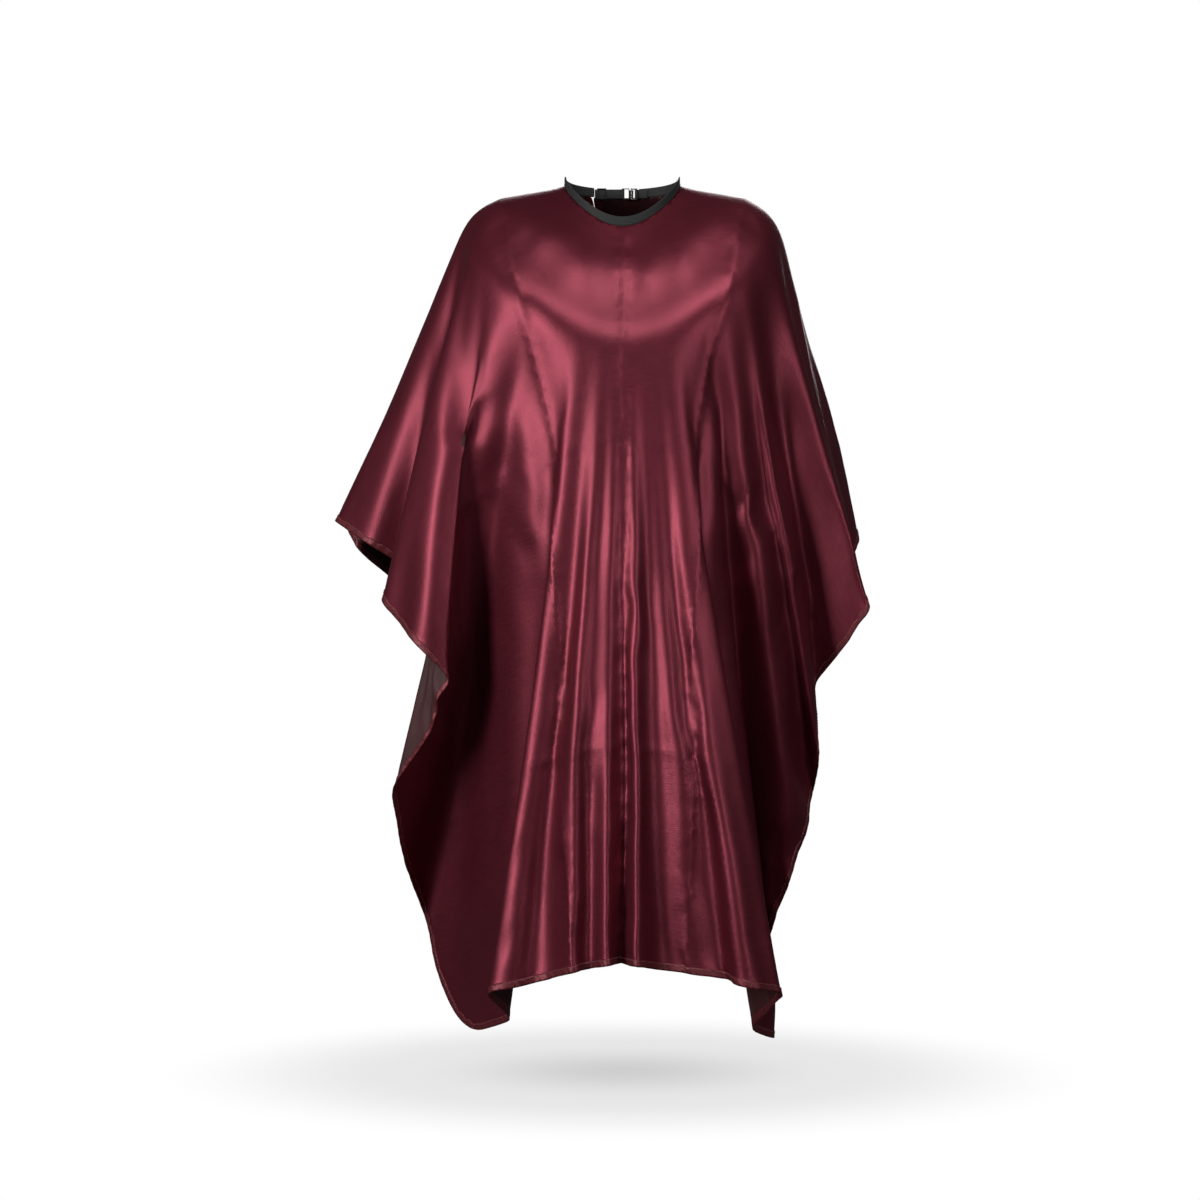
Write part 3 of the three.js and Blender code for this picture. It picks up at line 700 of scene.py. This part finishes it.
def edge_radius(angle):
    """Distance from the neck's centre to the binding's inner edge, on a straight side."""
    side = (CAPE_WIDTH / 2 - BINDING_WIDTH) / abs(math.sin(angle))
    return min(side, (FRONT_LENGTH - BINDING_WIDTH) / abs(math.cos(angle)))


def label_patch(surface):
    """The small woven label sewn to the outer face, just inside the binding."""
    angle = math.radians(LABEL_ANGLE)
    along = np.array([math.sin(angle), -math.cos(angle)])
    across = np.array([-along[1], along[0]])
    end = along * (edge_radius(angle) - LABEL_HEM)
    rows, columns = 31, 13  # of points
    verts, uv = [], []
    for r in range(rows):
        for c in range(columns):
            down, side = r / (rows - 1), c / (columns - 1)
            back = (1 - down) * LABEL_LENGTH + LABEL_WIDTH / 2
            x, y = end - along * back + across * ((side - 0.5) * LABEL_WIDTH)
            curl = LABEL_CURL * (abs(side - 0.5) * 2) ** 4 + LABEL_WAVE * math.sin(down * 9)
            verts.append(surface.at(x, y, LABEL_LIFT + curl))
            uv.append((side * LABEL_WIDTH, down * LABEL_LENGTH))
    faces = []
    for r in range(rows - 1):
        for c in range(columns - 1):
            a = r * columns + c
            faces.append((a, a + columns, a + columns + 1, a + 1))
    obj = mesh_object("label_patch", verts, faces)
    obj.data.uv_layers.new(name="flat")
    corners = [uv[loop.vertex_index] for loop in obj.data.loops]
    obj.data.uv_layers["flat"].data.foreach_set("uv", np.array(corners).ravel())
    return thickened(obj, LABEL_THICKNESS, 0)


SOFT_EDGE = 0.0003  # how far the closure's hard edges are rounded
WIRE_EDGE = 0.0004
BAND_STEP = 0.00055  # half the pitch of the elastic's ribs
RIB_DEPTH = 0.00012
BAND_SECTION = 18  # points round its section
BAND_POWERS = (0.6, 0.45)  # 1 would make the section an ellipse
BAND_END = 0.75  # the share of its section that the band keeps at its ends
BAND_SPARE = 0.0002  # added to half its height
BAND_SWELL = 0.00015  # slow swelling and thinning of the elastic
BAND_STITCH_SHARE = 0.68  # a stitch's length, as a share of the pitch
BAND_STITCH_RADIUS = 0.00025
BAND_STITCH_HEIGHT = 0.0025  # above the band's lower edge
BAND_STITCH_LIFT = 0.0003
EYE_END = (-0.02, 0.045)  # the band's corners past this X and Y are by the eye
BEVEL_ANGLE = 35
SHARP_ANGLE = 50


def band_angles():
    """The neckband's two ends, from the closure's strap round the front to its eye."""
    left = SLIT_X + SLIT_GAP / 2
    corners = [v.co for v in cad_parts["neckband"].data.vertices]
    right = min(p.x for p in corners if p.x > EYE_END[0] and p.y > EYE_END[1])
    first = math.atan2(left, -neck_back_y(left))
    last = math.atan2(right, -neck_back_y(right))
    return first, last


def neckband_elastic():
    """A ribbed elastic band of rounded section, on the curve of the neck."""
    first, last = band_angles()
    count = int((last - first) * NECK_HALF_WIDTH / BAND_STEP)
    angles = np.linspace(first, last, count)
    radius = neck_radius(angles)
    x, y, z = radius * np.sin(angles), -radius * np.cos(angles), neck_height(angles)
    along = np.stack([np.gradient(x), np.gradient(y)], 1)
    along /= np.linalg.norm(along, axis=1)[:, None]
    out = np.stack([along[:, 1], -along[:, 0]], 1)
    rings = []
    for i in range(count):
        rib = RIB_DEPTH * (1 if i % 2 else -1) + BAND_SWELL * math.sin(i * 0.11)
        close = BAND_END if i in (0, count - 1) else 1
        ring = []
        for k in range(BAND_SECTION):
            turn = 2 * math.pi * k / BAND_SECTION
            side, rise = math.cos(turn), math.sin(turn)
            side = math.copysign(abs(side) ** BAND_POWERS[0], side)
            rise = math.copysign(abs(rise) ** BAND_POWERS[1], rise)
            thick = (BAND_THICKNESS / 2 + rib) * side * close
            high = (BAND_HEIGHT / 2 + BAND_SPARE) * rise * close
            ring.append((x[i] + out[i, 0] * thick, y[i] + out[i, 1] * thick, z[i] + high))
        rings.append(ring)
    return tube_between("neckband_elastic", rings)


def band_stitches():
    """The seam that joins the band to the sheet, low on the band's outer face."""
    first, last = band_angles()
    length = (last - first) * NECK_HALF_WIDTH
    pairs = []
    count = int(length / STITCH_PITCH)
    for i in range(1, count):
        ends = []
        for share in (0, BAND_STITCH_SHARE):
            angle = first + (last - first) * (i + share) / count
            radius = float(neck_radius(np.array(angle))) + BAND_THICKNESS / 2
            radius += BAND_STITCH_LIFT
            height = float(neck_height(np.array(angle))) - BAND_HEIGHT / 2
            height += BAND_STITCH_HEIGHT
            ends.append(Vector((radius * math.sin(angle), -radius * math.cos(angle), height)))
        up = Vector((ends[0].x, ends[0].y, 0)).normalized()
        pairs.append((*ends, up))
    return stitches("band_stitches", pairs, BAND_STITCH_RADIUS)


def rounded_copy(node, name, width):
    """A copy of a CAD node with its hard edges rounded, in place of the node."""
    obj = linked(name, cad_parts[node].data.copy())
    obj.data.materials.clear()
    weld = obj.modifiers.new("weld", "WELD")
    weld.merge_threshold = 1e-6
    bevel = obj.modifiers.new("bevel", "BEVEL")
    bevel.width = width
    bevel.segments = 3
    bevel.limit_method = "ANGLE"
    bevel.angle_limit = math.radians(BEVEL_ANGLE)
    mesh = shaded(applied(obj))
    mesh.set_sharp_from_angle(angle=math.radians(SHARP_ANGLE))
    rounded = linked(name, mesh)
    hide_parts(node)
    return rounded


# ---- Materials ----------------------------------------------------------------------

# The patterns' scales are in repeats per metre, of the flat sheet or of the object.


class Finish:
    """A procedural material: short calls that add nodes and join them to the shader."""

    def __init__(self, name, roughness, metallic=0.0, **constants):
        self.material = bpy.data.materials.new(name)
        self.material.use_nodes = True
        self.tree = self.material.node_tree
        self.shader = self.tree.nodes["Principled BSDF"]
        self.shader.inputs["Roughness"].default_value = roughness
        self.shader.inputs["Metallic"].default_value = metallic
        for socket, value in constants.items():
            self.shader.inputs[socket.replace("_", " ")].default_value = value

    def node(self, kind, inputs=(), **settings):
        made = self.tree.nodes.new(kind)
        for key, value in settings.items():
            setattr(made, key, value)
        for socket, value in dict(inputs).items():
            if isinstance(value, bpy.types.NodeSocket):
                self.tree.links.new(value, made.inputs[socket])
            else:
                made.inputs[socket].default_value = value
        return made

    def scaled(self, vector, scale):
        mapping = self.node("ShaderNodeMapping", {"Vector": vector, "Scale": scale})
        return mapping.outputs["Vector"]

    def flat_coordinates(self, scale):
        uv = self.node("ShaderNodeUVMap", uv_map="flat")
        return self.scaled(uv.outputs["UV"], scale)

    def object_coordinates(self, scale):
        place = self.node("ShaderNodeTexCoord")
        return self.scaled(place.outputs["Object"], scale)

    def noise(self, vector, detail=3.0, roughness=0.5):
        inputs = {"Vector": vector, "Scale": 1.0, "Detail": detail, "Roughness": roughness}
        return self.node("ShaderNodeTexNoise", inputs).outputs["Fac"]

    def ramp(self, value, stops):
        made = self.node("ShaderNodeValToRGB", {"Fac": value})
        elements = made.color_ramp.elements
        while len(elements) < len(stops):
            elements.new(0.5)
        for element, (position, color) in zip(elements, stops):
            element.position = position
            element.color = (*color, 1)
        return made.outputs["Color"]

    def spread(self, value, low, high):
        made = self.node("ShaderNodeMapRange", {"Value": value, "To Min": low, "To Max": high})
        return made.outputs["Result"]

    def math(self, operation, a, b):
        made = self.node("ShaderNodeMath", operation=operation)
        for socket, value in zip(made.inputs, (a, b)):
            if isinstance(value, bpy.types.NodeSocket):
                self.tree.links.new(value, socket)
            else:
                socket.default_value = value
        return made.outputs["Value"]

    def bump(self, height, strength, distance, below=None):
        inputs = {"Height": height, "Strength": strength, "Distance": distance}
        if below is not None:
            inputs["Normal"] = below
        return self.node("ShaderNodeBump", inputs).outputs["Normal"]

    def use(self, socket, value):
        self.tree.links.new(value, self.shader.inputs[socket])


def satin(name, shades, roughness, metallic, rib_strength):
    """Woven satin: fine ribs across, faint threads along, and slow changes of shade."""
    finish = Finish(name, roughness, metallic, Anisotropic=0.45)
    ribs = finish.noise(finish.flat_coordinates((30, 900, 1)), 2)
    threads = finish.noise(finish.flat_coordinates((1300, 60, 1)), 2)
    weave = finish.math("ADD", ribs, finish.math("MULTIPLY", threads, 0.5))
    clouds = finish.noise(finish.flat_coordinates((9, 6, 1)), 4)
    slow = finish.math("MULTIPLY", clouds, 0.6)
    shade = finish.math("ADD", slow, finish.math("MULTIPLY", ribs, 0.4))
    finish.use("Base Color", finish.ramp(shade, list(zip((0.3, 0.5, 0.7), shades))))
    finish.use("Roughness", finish.spread(weave, roughness - 0.06, roughness + 0.08))
    wrinkles = finish.noise(finish.flat_coordinates((22, 14, 1)), 5, 0.55)
    soft = finish.bump(wrinkles, 0.25, 0.002)
    finish.use("Normal", finish.bump(weave, rib_strength, 0.0003, soft))
    return finish.material


def ribbed(name, dark, light, roughness, scale, strength):
    """Knitted or woven black cloth: small lumps and fuzz in the object's own frame."""
    finish = Finish(name, roughness, Sheen_Weight=0.06, Sheen_Roughness=0.5)
    place = finish.object_coordinates((scale, scale, scale))
    cells = finish.node("ShaderNodeTexVoronoi", {"Vector": place, "Scale": 1.0})
    fuzz = finish.noise(finish.object_coordinates((700, 700, 1500)), 4)
    shade = finish.math("MULTIPLY", cells.outputs["Distance"], fuzz)
    finish.use("Base Color", finish.ramp(shade, [(0.05, dark), (0.5, light)]))
    finish.use("Roughness", finish.spread(fuzz, roughness - 0.08, roughness + 0.08))
    finish.use("Normal", finish.bump(shade, strength, 0.0003))
    return finish.material


def metal(name, dark, light, roughness, metallic):
    """Drawn or lacquered metal with fine scratches and slight wear."""
    finish = Finish(name, roughness, metallic)
    scratches = finish.noise(finish.object_coordinates((300, 2500, 2500)), 5, 0.6)
    wear = finish.noise(finish.object_coordinates((180, 180, 180)), 3)
    finish.use("Base Color", finish.ramp(wear, [(0.35, dark), (0.75, light)]))
    finish.use("Roughness", finish.spread(scratches, roughness - 0.1, roughness + 0.15))
    finish.use("Normal", finish.bump(scratches, 0.15, 0.0001))
    return finish.material


def thread(name, dark, light):
    """Twisted sewing thread."""
    finish = Finish(name, 0.5, Sheen_Weight=0.3)
    twist = finish.noise(finish.object_coordinates((2500, 2500, 2500)), 2)
    finish.use("Base Color", finish.ramp(twist, [(0.3, dark), (0.7, light)]))
    finish.use("Normal", finish.bump(twist, 0.3, 0.0001))
    return finish.material


def label_weave():
    """Finely woven plain black, with no lettering."""
    finish = Finish("label_weave", 0.6, Sheen_Weight=0.05)
    threads = finish.noise(finish.flat_coordinates((3500, 700, 1)), 2)
    shades = [(0.3, (0.004, 0.004, 0.005)), (0.7, (0.016, 0.015, 0.017))]
    finish.use("Base Color", finish.ramp(threads, shades))
    finish.use("Normal", finish.bump(threads, 0.4, 0.0002))
    return finish.material


# Colours from dark to light, linear
WINE = [(0.115, 0.012, 0.023), (0.145, 0.016, 0.03), (0.175, 0.02, 0.037)]
WINE_INSIDE = [(0.035, 0.005, 0.007), (0.045, 0.007, 0.009), (0.055, 0.009, 0.012)]
WINE_TAPE = [(0.1, 0.013, 0.018), (0.13, 0.018, 0.024), (0.16, 0.022, 0.03)]
BLACK = ((0.003, 0.0032, 0.0032), (0.013, 0.0145, 0.0145))

satin_outside = satin("satin_outside", WINE, 0.36, 0.7, 0.35)
satin_inside = satin("satin_inside", WINE_INSIDE, 0.6, 0.2, 0.25)
binding_tape = satin("binding_tape", WINE_TAPE, 0.42, 0.5, 0.5)
elastic = ribbed("elastic", *BLACK, 0.75, 900, 0.5)
webbing = ribbed("webbing", *BLACK, 0.7, 1300, 0.6)
dark_metal = metal("dark_metal", (0.012, 0.012, 0.013), (0.05, 0.05, 0.052), 0.3, 0.4)
bright_metal = metal("bright_metal", (0.4, 0.37, 0.33), (0.6, 0.57, 0.52), 0.28, 1.0)
wine_thread = thread("wine_thread", (0.1, 0.01, 0.02), (0.26, 0.03, 0.055))
black_thread = thread("black_thread", (0.006, 0.006, 0.006), (0.03, 0.03, 0.032))


# ---- The cape -----------------------------------------------------------------------

flat, faces = flat_sheet(MESH_STEP)
start = drape(flat)
points = settle(flat, faces, start)
points = evened(faces, points, SMOOTHINGS)
surface = Surface(*refined(flat, faces, points, 1))

# The panel runs halfway under the tape
panel = part_of_sheet("satin_panel", surface, lambda x, y: edge_inset(x, y) > BINDING_WIDTH / 2)
thickened(panel, CLOTH_THICKNESS, -1, 1)
binding = hem_binding(surface)
hem_seam = hem_stitches(surface)
label = label_patch(surface)
band = neckband_elastic()
band_seam = band_stitches()
tab = rounded_copy("eye_tab", "tab_webbing", SOFT_EDGE)
strap = rounded_copy("neck_strap", "strap_webbing", SOFT_EDGE)
slide = rounded_copy("slide_adjuster", "slide_frame", WIRE_EDGE)
hook = rounded_copy("hook", "hook_plate", SOFT_EDGE)
eye = rounded_copy("eye_ring", "eye_wire", WIRE_EDGE)

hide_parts("cape_panel")
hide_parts("edge_binding")
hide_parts("woven_label")
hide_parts("neckband")

PIECES = [
    (panel, "cape", "satin", [satin_outside, satin_inside]),
    (binding, "cape", "binding_tape", [binding_tape]),
    (hem_seam, "cape", "binding_tape", [wine_thread]),
    (label, "cape", "label_weave", [label_weave()]),
    (band, "cape", "elastic", [elastic]),
    (band_seam, "cape", "elastic", [black_thread]),
    (tab, "cape", "webbing", [webbing]),
    (strap, "strap", "webbing", [webbing]),
    (slide, "slide", "dark_metal", [dark_metal]),
    (hook, "hook", "dark_metal", [dark_metal]),
    (eye, "eye", "bright_metal", [bright_metal]),
]
for piece, body, slot_name, materials in PIECES:
    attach(piece, body)
    for material in materials:
        piece.data.materials.append(material)


# ---- Floor, light and camera --------------------------------------------------------

CAMERA_PLACE = (-0.029, -3.68, -0.5486)
MIDDLE = (0, 0, -0.55)
FLOOR_Z = -1.16
FLOOR_HALF = 30
# Half sizes of the soft shadow that is painted into the floor's glow
SHADOW_HALF_WIDTH = 0.62
SHADOW_HALF_DEPTH = 0.5
ROOM_STRENGTH = 0.04  # what the cape reflects of the room between the lights


def area_light(name, place, target, size, power):
    data = bpy.data.lights.new(name, "AREA")
    data.shape = "RECTANGLE"
    data.size, data.size_y = size
    data.energy = power
    obj = linked(name, data)
    obj.location = place
    obj.rotation_euler = (Vector(target) - Vector(place)).to_track_quat("-Z", "Y").to_euler()


def studio_floor():
    """A white floor that glows and fades into the white room, with a soft shadow painted into its
    glow under the cape.
    """
    signs = ((-1, -1), (1, -1), (1, 1), (-1, 1))
    corners = [(x * FLOOR_HALF, y * FLOOR_HALF, FLOOR_Z) for x, y in signs]
    floor = mesh_object("studio_floor", corners, [(0, 1, 2, 3)], False)
    finish = Finish("floor_white_painted_shadow", 1.0)
    tree, nodes = finish.tree, finish.tree.nodes
    place = finish.object_coordinates((1 / SHADOW_HALF_WIDTH, 1 / SHADOW_HALF_DEPTH, 0))
    distance = finish.node("ShaderNodeVectorMath", operation="LENGTH")
    tree.links.new(place, distance.inputs[0])
    # Painted shadow: the floor's glow is darker towards the middle, under the cape
    painted_shadow_greys = ((0.0, 0.62), (0.45, 0.8), (1.0, 1))
    shade = finish.ramp(distance.outputs["Value"], [(at, (grey,) * 3) for at, grey in painted_shadow_greys])
    shade.node.color_ramp.interpolation = "EASE"
    glow = finish.node("ShaderNodeEmission", {"Color": shade, "Strength": 1.0})
    tree.links.new(glow.outputs["Emission"], nodes["Material Output"].inputs["Surface"])
    floor.data.materials.append(finish.material)
    floor.visible_diffuse = False
    floor.visible_glossy = False
    floor.visible_shadow = False


def studio_room():
    """White to the camera, dim to everything that the cape reflects."""
    world = bpy.data.worlds.new("studio")
    scene.world = world
    world.use_nodes = True
    nodes, links = world.node_tree.nodes, world.node_tree.links
    room = nodes["Background"]
    room.inputs["Color"].default_value = (1, 1, 1, 1)
    room.inputs["Strength"].default_value = ROOM_STRENGTH
    seen = nodes.new("ShaderNodeBackground")
    seen.inputs["Color"].default_value = (1, 1, 1, 1)
    rays = nodes.new("ShaderNodeLightPath")
    mix = nodes.new("ShaderNodeMixShader")
    links.new(rays.outputs["Is Camera Ray"], mix.inputs["Fac"])
    links.new(room.outputs["Background"], mix.inputs[1])
    links.new(seen.outputs["Background"], mix.inputs[2])
    links.new(mix.outputs["Shader"], nodes["World Output"].inputs["Surface"])


studio_floor()
studio_room()
# A bright window at the left and a weaker one at the right draw the folds, one from above
# lights the shoulders, and one behind lifts the inner side.
area_light("left_window", (-2.4, -2.5, 0.1), MIDDLE, (0.8, 2.2), 92)
area_light("right_window", (2.1, -2.7, 0.2), MIDDLE, (0.6, 2.0), 26)
area_light("top_front", (0.2, -1.8, 2.3), MIDDLE, (1.6, 0.8), 40)
area_light("back_window", (0.3, 3.0, 0.9), MIDDLE, (1.8, 1.8), 45)

camera_data = bpy.data.cameras.new("camera")
camera_data.lens = 85
camera_data.sensor_width = 36
camera = linked("camera", camera_data)
camera.location = CAMERA_PLACE
camera.rotation_euler = (math.pi / 2, 0, 0)
scene.camera = camera
scene.view_settings.view_transform = "Standard"
